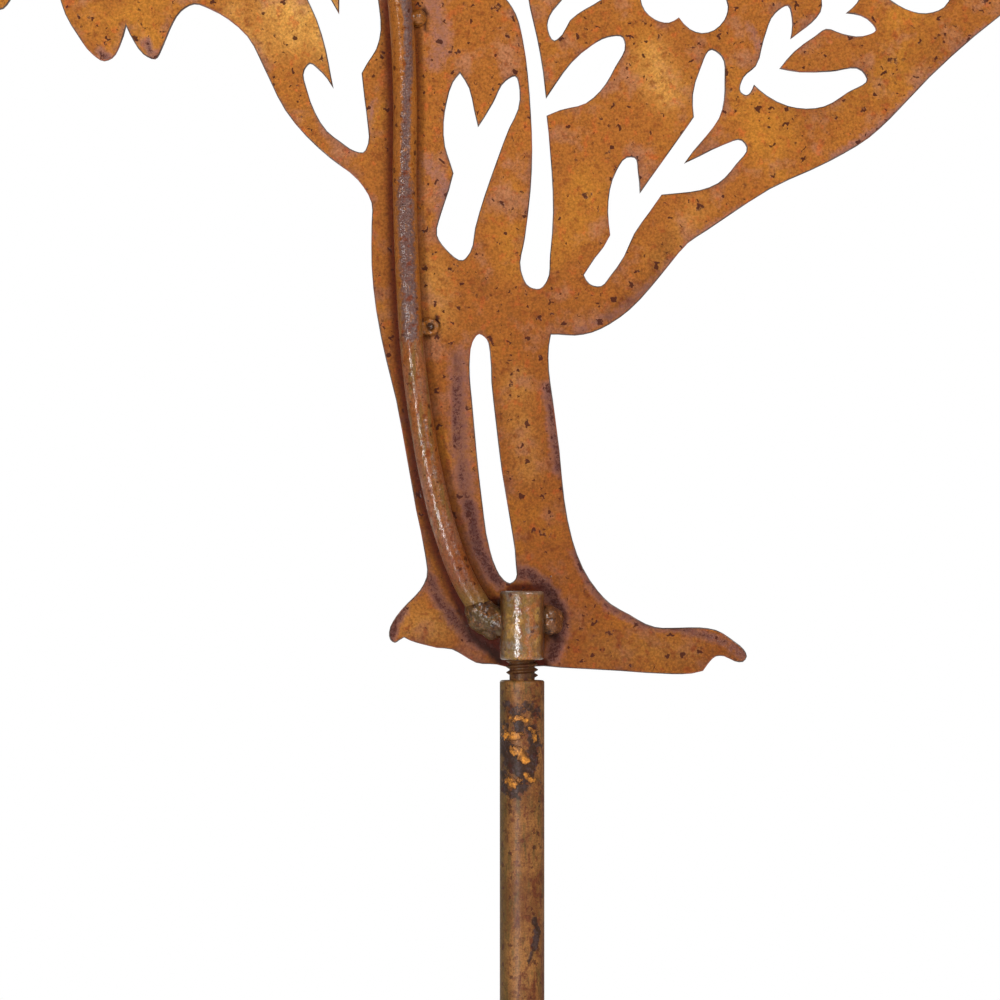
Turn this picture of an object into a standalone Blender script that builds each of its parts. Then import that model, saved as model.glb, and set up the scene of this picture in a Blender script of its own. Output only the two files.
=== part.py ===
"""Rooster garden stake of rusted steel: a flat cut-out rooster with its rod and socket, and the ground stake.

The rooster faces +X and its finished front looks along +Y. The rod, the socket and the welds are on its back,
at -Y. The stake stands along Z through the origin, which is at ground level. Metres, +Z up.
"""

import math

import bmesh
import bpy
from mathutils import Matrix, Vector

# Driving dimensions, in metres
FIGURE_HEIGHT = 0.374
PLATE_THICKNESS = 0.002
ROD_DIAMETER = 0.006
SOCKET_DIAMETER = 0.0111
SOCKET_LENGTH = 0.0171
SOCKET_EDGE_ROUND = 0.0007
BORE_DEPTH = 0.012
STAKE_DIAMETER = 0.0111
STAKE_BAR_LENGTH = 0.460
STAKE_POINT_LENGTH = 0.030
STAKE_TIP_WIDTH = 0.002
STAKE_SHOULDER_CHAMFER = 0.0005
BURIED_DEPTH = 0.200
THREAD_DIAMETER = 0.0079
THREAD_DEPTH = 0.0008
THREAD_PITCH = 0.00142
THREAD_TURNS = 11
NECK_LENGTH = 0.0012
TACK_WELD_WIDTH = 0.0042
END_WELD_WIDTH = 0.0084
END_WELD_HEIGHT = 0.0082
SIDE_WELD_WIDTH = 0.0056
SIDE_WELD_HEIGHT = 0.0068
TOUCHING_GAP = 0.0003

# How finely round shapes are faceted
CURVE_TOLERANCE = 0.00007
SAG_OF_HANDLE_OFFSET = 0.75
ROUND_SIDES = 24
EDGE_ROUND_ANGLES = (0.0, math.radians(45), math.radians(90))
WELD_SIDES = 14
WELD_RINGS = 10
ROD_BEVEL_RESOLUTION = 4

# The figure's drawing: right and down, in quarter millimetres at the nominal height
MOUTH_IN_DRAWING = (522, 659)
DRAWN_TOP = -822
DRAWN_BOTTOM = 674.3

# Runs of the outer outline. Each run is smooth, and starts at the corner where the one before it ends.
BREAST = (
    (1052, -528), (1050, -465), (1064, -390), (1084, -310), (1098, -235), (1101, -165), (1088, -100),
    (1062, -48), (1032, -12), (1000, 16), (975, 36), (930, 77), (891, 118), (870, 137), (830, 161),
    (770, 189), (728, 216), (706, 231), (688, 243), (670, 264), (650, 288.5), (630, 309.5), (610, 324),
    (592, 332.5), (575, 335.5), (558, 334.5),
)
FRONT_LEG_AND_CLAW = (
    (551, 334.5), (549, 346), (549, 370), (553, 400), (559.5, 450), (564.5, 500), (572.5, 540),
    (583, 568), (598, 591), (611, 604), (630, 614.8), (646, 624), (655, 627), (678, 627.8), (700, 627.5),
    (716, 630), (735, 641.8), (744, 649.5), (747, 656.5), (743, 662), (735, 661.5), (724, 656.3),
    (716, 656.5), (708, 664),
)
SOLE = (
    (703, 671), (692, 673.6), (672, 674.2), (620, 671), (560, 667.7), (536, 666.5), (528, 668.4),
    (522, 670.5), (512, 668.4), (497, 664.6), (476, 662.8), (464, 656), (452, 649.5), (437, 648),
    (422, 644.3), (410, 640.5),
)
REAR_SPUR_AND_THIGH = (
    (404, 637.5), (399, 640.5), (395, 643), (390, 639.5), (389, 632), (396, 616.5), (407, 603.5),
    (420, 590), (426.5, 577), (425, 555), (416, 510), (407, 460), (396, 400), (386, 360), (376, 310),
    (371.5, 265), (371.5, 225), (371.5, 203), (358, 180), (330, 158), (306, 136), (285, 110), (264, 68),
    (247, 36), (228, 19), (210, 9), (194, 4), (181, 11), (170, 29), (163, 46), (155, 59), (143, 54),
    (134, 42),
)
LOWEST_LOBE = ((126, 26), (120, 45), (112, 58), (104, 61), (92, 54), (78, 36), (65, 14), (58, -8), (50, -32))
LAST_VISIBLE_LOBE = ((36, -54), (20, -26), (10, 0), (3, 8.5), (-8, 10), (-28, -4), (-48, -32))
TAIL_NOTCHES = ((-64, -60), (-166, -102), (-251, -173), (-311, -272))
TAIL_TIPS = ((-142, -12), (-256, -80), (-342, -184))
TAIL_ARCH_AND_BACK = (
    (-311, -272), (-344, -262), (-376, -272), (-396, -304), (-400, -350), (-385, -425), (-348, -505),
    (-290, -582), (-215, -648), (-128, -696), (-32, -722), (65, -727), (158, -710), (240, -668),
    (305, -608), (352, -535), (385, -462), (420, -392), (470, -344), (530, -318), (600, -310), (680, -322),
    (760, -360), (828, -420), (882, -497), (914, -572), (934, -622),
)
COMB_VALLEYS = ((958, -652), (972, -718), (1006, -752), (1046, -762), (1084, -744), (1112, -664))
COMB_TIPS = ((912, -712), (956, -790), (1016, -822), (1078, -812), (1130, -748))
BEAK_TOP = ((1112, -664), (1142, -654), (1170, -632))
BEAK_UNDERSIDE = ((1192, -596), (1160, -600), (1134, -592))
WATTLE = ((1108, -584), (1126, -552), (1124, -510), (1104, -480), (1080, -478), (1062, -500))
EYE_CENTRE = (1062, -622)
EYE_RADIUS = 10

# How far along a tail lobe or a comb point each anchor is, and how far across it
ROUND_LOBE = ((0.5, 0.42), (0.88, 0.24), (1.0, 0.0), (0.88, -0.24), (0.5, -0.42))
POINTED_LOBE = ((0.45, 0.36), (0.85, 0.16), (1.0, 0.0), (0.85, -0.16), (0.45, -0.36))

# The cut-outs, as runs between corners
LEG_SLIT = (
    (
        (479, 334), (472.5, 342), (470, 356), (469.8, 376), (472, 400), (476.5, 450), (482, 500), (490, 550),
        (496.5, 569), (504, 580), (510, 583.2), (515.5, 579), (515.8, 565), (510, 520), (501.5, 470),
        (495.5, 420), (491.3, 382), (489.8, 352), (486.5, 339),
    ),
)
THIGH_SPRIG = (
    ((292, -48), (299, -22), (308, 0), (317, 20), (326, 50), (331, 76)),
    (
        (333.5, 88.5), (327, 78.5), (318, 69), (310, 63.5), (304.3, 70), (307, 90), (315, 112), (327, 131),
        (341, 142), (355, 151), (363, 152.3), (368, 143), (367.5, 124), (364.5, 100),
    ),
    ((361.5, 73), (367, 63), (376, 49), (380.5, 30), (379, 8), (376, -14), (372, -45)),
    ((365, -92), (350, -60), (341, -24)),
    ((339, 14), (331, 0), (314, -22)),
)
WING_FORK = (
    (
        (460, 73), (453, 82), (447, 101), (443.7, 122), (445, 146), (450, 162),
    ),
    (
        (453.5, 173), (449, 190), (441, 214), (437, 235), (446, 249), (463, 260), (470, 252), (475, 228),
        (484, 197), (497, 160), (509, 128), (518, 109), (519.5, 90), (515, 76), (506, 80.5), (493, 103),
        (484, 118),
    ),
    ((478, 127), (474, 110), (469, 88)),
)
LONG_STEM = (
    (
        (437, -84), (462, -38), (490, -15), (508, 1), (516, 14), (523, 40), (528, 75), (531, 115),
        (532.3, 150), (530.7, 190), (525, 238), (521, 270), (530, 287), (540, 288.5), (546.5, 281),
        (550, 255), (553, 212), (551.5, 170), (548.5, 132),
    ),
    (
        (546.5, 115.5), (560, 110), (586, 103), (600, 91), (615, 67), (625, 44), (623, 37.5), (608, 37),
        (592, 45), (572, 62), (556, 83.5),
    ),
    ((546, 98.5), (543, 72), (537, 38), (530, 8), (525, -24)),
    ((523, -48), (542, -74), (551, -108)),
    ((548, -152), (523, -116), (508, -78)),
    ((503, -40), (480, -50), (458, -65)),
)
SMALL_LEAF = (
    (
        (604, -80), (589, -48), (574, -17), (561, 1), (550, 15.5), (547.5, 25), (554.5, 40.5), (562, 34.5),
        (570, 20), (585, 9), (601, -0.5), (612, -14), (613, -44),
    ),
)
FLOWER_CENTRE = (685, -25)
FLOWER_CUSP_RADIUS = 43
FLOWER_PETAL_RADIUS = 57
FLOWER_FIRST_CUSP = math.radians(170)
HIDDEN_PETALS = 3
PETAL_STEP = math.radians(72)
PETAL_ROUNDING = ((0.25, 0.93), (0.5, 1.0), (0.75, 0.93))
LOWER_RIGHT_PETAL = ((723.6, -6), (728, 6), (724, 20), (714, 30), (702, 33), (690, 29))
LOWER_LEFT_PETAL = ((679, 17.3), (669, 22.5), (655, 19.3), (645, 10.5), (640.5, -2))
TRIPLE_SPRIG = (
    ((583.8, 275), (595, 258), (604, 246.5)),
    (
        (610.3, 235), (608.2, 212), (610, 190), (617, 170), (627, 157.5), (634.5, 157.5), (638, 172),
    ),
    ((639.8, 193.5), (650, 179), (670, 151), (686, 128.5)),
    (
        (694, 117), (693, 95), (700, 70), (712, 49.5), (721.5, 56), (724.7, 80), (719, 118), (706, 136),
        (693, 151),
    ),
    (
        (684, 163.5), (700, 156), (724, 144.5), (742, 140.5), (746.8, 147), (736, 164), (718, 183),
        (700, 190), (680, 192.8),
    ),
    ((661.5, 194.5), (650, 211), (634, 233.5), (624, 256), (610, 276), (601, 286), (590, 284)),
)
BREAST_SPRIG = (
    ((852, -76), (835, -50), (821, -16), (820.7, 12), (812, 22.5), (801, 31)),
    (
        (790.5, 39), (792, 18), (788, 5.5), (776, 12.5), (764, 39.5), (756, 66), (744, 77), (741, 92),
        (746, 95),
    ),
    (
        (754, 84.5), (767, 95.5), (788, 105.8), (824, 106.3), (848, 92), (867, 78.5), (862, 70.8),
        (830, 71.5), (800, 72),
    ),
    (
        (779.5, 68.5), (794, 51.5), (815, 36), (826, 28.7), (842, 33.5), (863, 36), (876, 30), (867, 18.5),
    ),
    ((846, 13), (857, 2.5), (864, -14), (863, -44)),
)
CHEST_LEAF = (
    ((879, -9), (891, 0), (906, 9), (926, 13.2), (944, 7), (954, -14), (953, -46)),
    ((938, -94), (928, -62), (908, -32)),
)

# Plain leaves and feather slits above the drawing's lower half: base, tip, width and bow
PLAIN_LEAVES = (
    ((640, -132), (562, -232), 34, 14),
    ((668, -152), (670, -266), 36, 6),
    ((702, -130), (768, -214), 34, -12),
    ((806, -84), (812, -172), 30, -6),
    ((976, -122), (896, -214), 36, 12),
    ((1000, -152), (984, -278), 38, 8),
    ((1024, -102), (1060, -206), 26, -10),
    ((440, -186), (500, -264), 32, -12),
    ((962, -566), (846, -372), 24, 16),
    ((990, -530), (906, -328), 24, 12),
    ((1014, -494), (966, -330), 24, 8),
    ((1030, -446), (1040, -334), 20, 0),
    ((318, -404), (-150, -530), 30, -118),
    ((302, -320), (-236, -372), 32, -96),
    ((284, -240), (-196, -222), 32, -66),
    ((262, -166), (-84, -112), 28, -40),
    ((236, -96), (78, -62), 22, -14),
)
LEAF_STATIONS = (0.2, 0.5, 0.8)
LEAF_FULLNESS = 0.8

# The rod's centreline on the same drawing, from its hidden top end down to where it turns to the socket
ROD_ROUTE = (
    (362, -290), (371, -200), (386, -100), (400, 5), (405, 90), (405, 190), (408.5, 290), (413.5, 360),
    (421.5, 420), (434.5, 490), (450, 545), (465, 582), (476.5, 602),
)
ROD_END_BELOW_TURN = 16
ROD_POINT_SPACING = 36
TACK_WELD_HEIGHTS = {"tack_weld_top": -262, "tack_weld_upper": 19, "tack_weld_lower": 327}
END_WELD_BELOW_ROD_END = 6
SIDE_WELD_BELOW_ROD_END = 3

# Where each weld's middle lies, as shares of its width beyond the rod or socket and behind the sheet
TACK_WELD_BESIDE = 0.3
TACK_WELD_BEHIND = 0.3
END_WELD_BESIDE = 0.42
SIDE_WELD_BESIDE = 0.25
SIDE_WELD_BEHIND = 0.3
TACK_WELD_STRETCH = 1.1
END_WELD_THICKNESS = 1.25
SIDE_WELD_THICKNESS = 1.2

# Sizes that follow from the ones above
UNIT = FIGURE_HEIGHT / (DRAWN_BOTTOM - DRAWN_TOP)
ROD_END_HEIGHT = ROD_ROUTE[-1][1] + ROD_END_BELOW_TURN
END_WELD_HEIGHT_IN_DRAWING = ROD_END_HEIGHT + END_WELD_BELOW_ROD_END
SIDE_WELD_HEIGHT_IN_DRAWING = ROD_END_HEIGHT + SIDE_WELD_BELOW_ROD_END
SOCKET_RADIUS = SOCKET_DIAMETER / 2
STAKE_RADIUS = STAKE_DIAMETER / 2
THREAD_RADIUS = THREAD_DIAMETER / 2
ROD_RADIUS = ROD_DIAMETER / 2
SHOULDER_Z = STAKE_BAR_LENGTH - BURIED_DEPTH
THREAD_TOP_Z = SHOULDER_Z + NECK_LENGTH + THREAD_TURNS * THREAD_PITCH
MOUTH_Z = THREAD_TOP_Z + TOUCHING_GAP - BORE_DEPTH
PLATE_BACK_Y = SOCKET_RADIUS + TOUCHING_GAP
ROD_Y = PLATE_BACK_Y - TOUCHING_GAP - ROD_RADIUS

RUST_ORANGE = (0.42, 0.15, 0.035, 1.0)
RUST_BROWN = (0.27, 0.10, 0.03, 1.0)
WELD_BROWN = (0.16, 0.10, 0.06, 1.0)
SOCKET_OLIVE = (0.28, 0.15, 0.06, 1.0)
STAKE_BROWN = (0.22, 0.11, 0.05, 1.0)


def collection(name):
    made = bpy.data.collections.new(name)
    bpy.context.scene.collection.children.link(made)
    return made


def metal(name, color, roughness):
    material = bpy.data.materials.new(name)
    material.use_nodes = True
    shader = material.node_tree.nodes["Principled BSDF"]
    shader.inputs["Base Color"].default_value = color
    shader.inputs["Metallic"].default_value = 0.5
    shader.inputs["Roughness"].default_value = roughness
    return material


def to_figure(point):
    """A drawn point as metres right of the socket's axis and up from its mouth."""
    return Vector(((point[0] - MOUTH_IN_DRAWING[0]) * UNIT, (MOUTH_IN_DRAWING[1] - point[1]) * UNIT))


def slopes_through(points, closed):
    """The direction of a smooth line at each of its anchors, per length along the chords."""
    count = len(points)
    ends = range(count) if closed else range(count - 1)
    chords = [points[(i + 1) % count] - points[i] for i in ends]
    slopes = []
    for i in range(count):
        before, after = chords[i - 1], chords[i % len(chords)]
        weighted = before * (after.length / before.length) + after * (before.length / after.length)
        slopes.append(weighted / (before.length + after.length))
    if not closed:
        slopes[0] = (chords[0] / chords[0].length * 3 - slopes[1]) / 2
        slopes[-1] = (chords[-1] / chords[-1].length * 3 - slopes[-2]) / 2
    return slopes


def smooth_line(anchors, closed=False, spacing=None):
    """Points on a smooth line through the anchors, but its last: evenly spaced, or closer where it bends."""
    points = [Vector(anchor) for anchor in anchors]
    slopes = slopes_through(points, closed)
    line = []
    for i in range(len(points) if closed else len(points) - 1):
        start, end = points[i], points[(i + 1) % len(points)]
        reach = (end - start).length / 3
        first, second = start + slopes[i] * reach, end - slopes[(i + 1) % len(points)] * reach
        if spacing:
            pieces = max(1, round((end - start).length / spacing))
        else:
            first_off = (first - start.lerp(end, 1 / 3)).length
            second_off = (second - start.lerp(end, 2 / 3)).length
            sag = max(first_off, second_off) * SAG_OF_HANDLE_OFFSET
            pieces = max(1, math.ceil(math.sqrt(sag * UNIT / CURVE_TOLERANCE)))
        for step in range(pieces):
            t = step / pieces
            a, b, c = start.lerp(first, t), first.lerp(second, t), second.lerp(end, t)
            line.append(a.lerp(b, t).lerp(b.lerp(c, t), t))
    return line


def outline_of(runs):
    """A closed outline from runs that meet at corners, or from a single run that closes on itself."""
    if len(runs) == 1:
        return smooth_line(runs[0], closed=True)
    loop = []
    for run, following in zip(runs, runs[1:] + runs[:1]):
        anchors = tuple(run) + (following[0],)
        if len(anchors) == 2:
            loop.append(Vector(anchors[0]))
        else:
            loop += smooth_line(anchors)
    return loop


def lobe(start, tip, end, profile):
    """One scallop of the outline: from a notch out to a tip, and back towards the next notch."""
    start, tip, end = Vector(start), Vector(tip), Vector(end)
    middle, across = (start + end) / 2, start - end
    return (start,) + tuple(middle + (tip - middle) * along + across * side for along, side in profile)


def leaf(base, tip, width, bow):
    """A leaf-shaped cut: two bowed sides that meet at its pointed base and tip."""
    base, tip = Vector(base), Vector(tip)
    along = tip - base
    across = Vector((along.y, -along.x)).normalized()
    sides = []
    for side in (1, -1):
        anchors = []
        for t in LEAF_STATIONS:
            offset = bow * 4 * t * (1 - t) + side * width / 2 * math.sin(math.pi * t) ** LEAF_FULLNESS
            anchors.append(base + along * t + across * offset)
        sides.append(anchors)
    return ((base, *sides[0]), (tip, *reversed(sides[1])))


def on_circle(centre, radius, angle):
    return Vector((centre[0] + radius * math.cos(angle), centre[1] + radius * math.sin(angle)))


def flower():
    """Five petals round a centre: the two lower ones as drawn, and three like them."""
    runs = [LOWER_LEFT_PETAL]
    for number in range(HIDDEN_PETALS):
        cusp = FLOWER_FIRST_CUSP + number * PETAL_STEP
        run = [on_circle(FLOWER_CENTRE, FLOWER_CUSP_RADIUS, cusp)]
        for share, reach in PETAL_ROUNDING:
            run.append(on_circle(FLOWER_CENTRE, FLOWER_PETAL_RADIUS * reach, cusp + share * PETAL_STEP))
        runs.append(tuple(run))
    runs.append(LOWER_RIGHT_PETAL)
    return tuple(runs)


def outer_runs():
    runs = [BREAST, FRONT_LEG_AND_CLAW, SOLE, REAR_SPUR_AND_THIGH, LOWEST_LOBE, LAST_VISIBLE_LOBE]
    for notch, tip, following in zip(TAIL_NOTCHES, TAIL_TIPS, TAIL_NOTCHES[1:]):
        runs.append(lobe(notch, tip, following, ROUND_LOBE))
    runs.append(TAIL_ARCH_AND_BACK)
    for valley, tip, following in zip(COMB_VALLEYS, COMB_TIPS, COMB_VALLEYS[1:]):
        runs.append(lobe(valley, tip, following, POINTED_LOBE))
    return runs + [BEAK_TOP, BEAK_UNDERSIDE, WATTLE]


def figure_outlines():
    """The outer outline and every cut-out, in drawing units."""
    cut_outs = [LEG_SLIT, THIGH_SPRIG, WING_FORK, LONG_STEM, SMALL_LEAF, flower()]
    cut_outs += [TRIPLE_SPRIG, BREAST_SPRIG, CHEST_LEAF]
    cut_outs += [leaf(*plain) for plain in PLAIN_LEAVES]
    eye = tuple(on_circle(EYE_CENTRE, EYE_RADIUS, math.radians(angle)) for angle in range(0, 360, 60))
    return [outline_of(outer_runs())] + [outline_of(list(runs)) for runs in cut_outs] + [outline_of([eye])]


def poly_curve(name, dimensions, lines, cyclic):
    curve = bpy.data.curves.new(name, "CURVE")
    curve.dimensions = dimensions
    for line in lines:
        spline = curve.splines.new("POLY")
        spline.points.add(len(line) - 1)
        for spline_point, co in zip(spline.points, line):
            spline_point.co = (*co, 1.0)
        spline.use_cyclic_u = cyclic
    return curve


def mesh_of(name, curve, placed, material, group):
    """The curve as a mesh object of that name, with its loose caps joined on and all faces outward."""
    guide = bpy.data.objects.new(name + "_guide", curve)
    guide.matrix_world = placed
    group.objects.link(guide)
    graph = bpy.context.evaluated_depsgraph_get()
    mesh = bpy.data.meshes.new_from_object(guide.evaluated_get(graph))
    mesh.name = name
    mesh.materials.clear()
    mesh.materials.append(material)
    piece = bpy.data.objects.new(name, mesh)
    piece.matrix_world = guide.matrix_world
    group.objects.link(piece)
    bpy.data.objects.remove(guide)
    edit = bmesh.new()
    edit.from_mesh(mesh)
    bmesh.ops.remove_doubles(edit, verts=edit.verts, dist=0.00001)
    bmesh.ops.recalc_face_normals(edit, faces=edit.faces)
    edit.to_mesh(mesh)
    edit.free()
    return piece


def make_figure(parts):
    """The rooster: one sheet of steel, cut out flat."""
    lines = [[(*to_figure(point), 0.0) for point in line] for line in figure_outlines()]
    curve = poly_curve("rooster_figure", "2D", lines, cyclic=True)
    curve.fill_mode = "BOTH"
    curve.extrude = PLATE_THICKNESS / 2
    middle = Matrix.Translation((0.0, PLATE_BACK_Y + PLATE_THICKNESS / 2, MOUTH_Z))
    upright = Matrix.Rotation(math.radians(90), 4, "X")
    sheet = metal("rust_orange_sheet", RUST_ORANGE, 0.4)
    return mesh_of("rooster_figure", curve, middle @ upright, sheet, parts)


def turned(name, profile, material, group):
    """A round piece from its profile, given from the top of its axis down the outside."""
    mesh = bpy.data.meshes.new(name)
    edges = [(i, i + 1) for i in range(len(profile) - 1)]
    mesh.from_pydata([(radius, 0.0, z) for radius, z in profile], edges, [])
    mesh.materials.append(material)
    piece = bpy.data.objects.new(name, mesh)
    group.objects.link(piece)
    screw = piece.modifiers.new("Turn", "SCREW")
    screw.steps = ROUND_SIDES
    screw.render_steps = ROUND_SIDES
    screw.use_merge_vertices = True
    screw.merge_threshold = 0.00001
    screw.use_smooth_shade = False
    return piece


def make_socket(parts):
    """A short round bar, bored from below for the stake's thread."""
    bore_radius = THREAD_RADIUS + TOUCHING_GAP
    top = MOUTH_Z + SOCKET_LENGTH
    edge = SOCKET_EDGE_ROUND
    profile = [(0.0, top)]
    for angle in EDGE_ROUND_ANGLES:
        across, down = edge * math.sin(angle), edge * (1 - math.cos(angle))
        profile.append((SOCKET_RADIUS - edge + across, top - down))
    for angle in reversed(EDGE_ROUND_ANGLES):
        across, up = edge * math.sin(angle), edge * (1 - math.cos(angle))
        profile.append((SOCKET_RADIUS - edge + across, MOUTH_Z + up))
    profile += [(bore_radius, MOUTH_Z), (bore_radius, MOUTH_Z + BORE_DEPTH), (0.0, MOUTH_Z + BORE_DEPTH)]
    return turned("threaded_socket", profile, metal("olive_brown_bar", SOCKET_OLIVE, 0.3), parts)


def make_stake(parts):
    """The round bar that goes in the ground: a threaded end above a shoulder, and a point below."""
    root_radius = THREAD_RADIUS - THREAD_DEPTH
    profile = [(0.0, THREAD_TOP_Z), (root_radius, THREAD_TOP_Z)]
    for turn in range(THREAD_TURNS):
        z = THREAD_TOP_Z - turn * THREAD_PITCH
        profile.append((THREAD_RADIUS, z - THREAD_PITCH / 2))
        profile.append((root_radius, z - THREAD_PITCH))
    profile.append((root_radius, SHOULDER_Z))
    profile.append((STAKE_RADIUS - STAKE_SHOULDER_CHAMFER, SHOULDER_Z))
    profile.append((STAKE_RADIUS, SHOULDER_Z - STAKE_SHOULDER_CHAMFER))
    profile.append((STAKE_RADIUS, STAKE_POINT_LENGTH - BURIED_DEPTH))
    profile.append((STAKE_TIP_WIDTH / 2, -BURIED_DEPTH))
    profile.append((0.0, -BURIED_DEPTH))
    return turned("ground_stake", profile, metal("brown_bar", STAKE_BROWN, 0.35), parts)


def rod_points():
    """The rod's centreline in world metres, evenly spaced along its smooth route."""
    end_x = -(SOCKET_RADIUS + TOUCHING_GAP + ROD_RADIUS) / UNIT + MOUTH_IN_DRAWING[0]
    route = ROD_ROUTE + ((end_x, ROD_END_HEIGHT),)
    flat = [to_figure(point) for point in smooth_line(route, spacing=ROD_POINT_SPACING) + [route[-1]]]
    return [Vector((point.x, ROD_Y, MOUTH_Z + point.y)) for point in flat]


def make_tube(name, radius, material, group):
    """A round tube along the rod's centreline."""
    curve = poly_curve(name, "3D", [rod_points()], cyclic=False)
    curve.bevel_depth = radius
    curve.bevel_resolution = ROD_BEVEL_RESOLUTION
    curve.use_fill_caps = True
    return mesh_of(name, curve, Matrix.Identity(4), material, group)


def hide(piece):
    piece.hide_render = True
    piece.display_type = "WIRE"
    return piece


def make_clearances(cutters):
    """What the welds are cut back from: the rod, the socket and the sheet, each with the touching gap."""
    plain = metal("clearance", RUST_BROWN, 0.5)
    around_rod = make_tube("rod_clearance", ROD_RADIUS + TOUCHING_GAP, plain, cutters)
    reach = SOCKET_LENGTH
    bottom, top = MOUTH_Z - reach, MOUTH_Z + SOCKET_LENGTH + TOUCHING_GAP
    radius = SOCKET_RADIUS + TOUCHING_GAP
    profile = [(0.0, top), (radius, top), (radius, bottom), (0.0, bottom)]
    around_socket = turned("socket_clearance", profile, plain, cutters)
    mesh = bpy.data.meshes.new("sheet_clearance")
    box = bmesh.new()
    depth = SOCKET_DIAMETER + END_WELD_WIDTH
    size = Matrix.Diagonal((FIGURE_HEIGHT * 2, depth, FIGURE_HEIGHT * 2, 1.0))
    centre = Matrix.Translation((0.0, PLATE_BACK_Y - TOUCHING_GAP + depth / 2, MOUTH_Z + FIGURE_HEIGHT / 2))
    bmesh.ops.create_cube(box, size=1.0, matrix=centre @ size)
    box.to_mesh(mesh)
    box.free()
    at_sheet = bpy.data.objects.new("sheet_clearance", mesh)
    cutters.objects.link(at_sheet)
    return [hide(piece) for piece in (around_rod, around_socket, at_sheet)]


def make_weld(name, centre, size, clearances, parts):
    """A rounded lump of weld metal, cut back from the pieces that it joins."""
    mesh = bpy.data.meshes.new(name)
    lump = bmesh.new()
    bmesh.ops.create_uvsphere(
        lump, u_segments=WELD_SIDES, v_segments=WELD_RINGS, radius=0.5, matrix=Matrix.Diagonal((*size, 1.0))
    )
    lump.to_mesh(mesh)
    lump.free()
    mesh.materials.append(metal(name + "_metal", WELD_BROWN, 0.35))
    weld = bpy.data.objects.new(name, mesh)
    weld.location = centre
    parts.objects.link(weld)
    for clearance in clearances:
        cut = weld.modifiers.new("Clear of " + clearance.name, "BOOLEAN")
        cut.operation = "DIFFERENCE"
        cut.solver = "EXACT"
        cut.object = clearance
    return weld


def rod_x_at(z):
    points = rod_points()
    for upper, lower in zip(points, points[1:]):
        if lower.z <= z <= upper.z:
            return lower.lerp(upper, (z - lower.z) / (upper.z - lower.z)).x
    return points[-1].x


def make_welds(clearances, parts):
    tack = TACK_WELD_WIDTH
    for name, drawn_height in TACK_WELD_HEIGHTS.items():
        z = MOUTH_Z + (MOUTH_IN_DRAWING[1] - drawn_height) * UNIT
        x = rod_x_at(z) + ROD_RADIUS + tack * TACK_WELD_BESIDE
        centre = (x, PLATE_BACK_Y - tack * TACK_WELD_BEHIND, z)
        make_weld(name, centre, (tack, tack, tack * TACK_WELD_STRETCH), clearances, parts)
    end_z = MOUTH_Z + (MOUTH_IN_DRAWING[1] - END_WELD_HEIGHT_IN_DRAWING) * UNIT
    end_x = -(SOCKET_RADIUS + END_WELD_WIDTH * END_WELD_BESIDE)
    end_size = (END_WELD_WIDTH, ROD_DIAMETER * END_WELD_THICKNESS, END_WELD_HEIGHT)
    make_weld("rod_end_weld", (end_x, ROD_Y, end_z), end_size, clearances, parts)
    side_z = MOUTH_Z + (MOUTH_IN_DRAWING[1] - SIDE_WELD_HEIGHT_IN_DRAWING) * UNIT
    side_x = SOCKET_RADIUS + SIDE_WELD_WIDTH * SIDE_WELD_BESIDE
    side_size = (SIDE_WELD_WIDTH, SIDE_WELD_WIDTH * SIDE_WELD_THICKNESS, SIDE_WELD_HEIGHT)
    side_y = PLATE_BACK_Y - SIDE_WELD_WIDTH * SIDE_WELD_BEHIND
    make_weld("socket_side_weld", (side_x, side_y, side_z), side_size, clearances, parts)


def main():
    for old in list(bpy.data.objects):
        bpy.data.objects.remove(old)
    parts = collection("rooster_garden_stake")
    cutters = collection("cutters")
    make_figure(parts)
    make_socket(parts)
    make_stake(parts)
    make_tube("support_rod", ROD_RADIUS, metal("rust_brown_rod", RUST_BROWN, 0.25), parts)
    make_welds(make_clearances(cutters), parts)


main()
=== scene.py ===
"""The rooster garden stake's looks: a rusted, lacquered sheet with its rod, socket and welds, on a stake."""

import math

import bmesh
import bpy
import numpy as np
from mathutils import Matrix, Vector, kdtree, noise


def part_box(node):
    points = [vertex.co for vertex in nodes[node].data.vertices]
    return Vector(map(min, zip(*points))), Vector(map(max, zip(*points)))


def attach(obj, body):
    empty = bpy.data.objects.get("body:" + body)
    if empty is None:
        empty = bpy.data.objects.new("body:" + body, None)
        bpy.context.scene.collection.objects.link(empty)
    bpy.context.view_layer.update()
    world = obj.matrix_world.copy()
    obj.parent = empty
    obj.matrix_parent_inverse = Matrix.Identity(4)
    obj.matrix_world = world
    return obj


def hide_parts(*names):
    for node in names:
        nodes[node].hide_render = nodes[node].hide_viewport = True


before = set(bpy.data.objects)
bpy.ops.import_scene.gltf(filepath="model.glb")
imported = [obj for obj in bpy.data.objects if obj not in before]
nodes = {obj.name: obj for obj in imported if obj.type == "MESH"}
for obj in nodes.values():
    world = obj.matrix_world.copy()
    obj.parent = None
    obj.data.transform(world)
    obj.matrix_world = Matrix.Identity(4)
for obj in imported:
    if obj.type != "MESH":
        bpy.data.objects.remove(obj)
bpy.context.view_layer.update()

# Rooster sheet
# The figure is one sheet of mild steel, cut out by a plasma torch, left to rust evenly and then lacquered.
# The torch rounds and blues its cut edges, and the welds on its back tint the steel around them.
CUT_EDGE_ROUNDING = 0.00026
PAINTING_GRID = 0.0015
SHEET_RUST = "#985A20"
SHEET_OCHRE = "#B87A26"
SHEET_PINK_RUST = "#A06A4A"
SHEET_RED_RUST = "#B05422"
SHEET_BROWN_RUST = "#7A3A14"
SHEET_SPECK = "#3C140A"
HEAT_PINK = "#94665A"
HEAT_PURPLE = "#5C383A"
RIM_BROWN = "#3E261C"
RIM_GREY = "#5C4E48"
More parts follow.
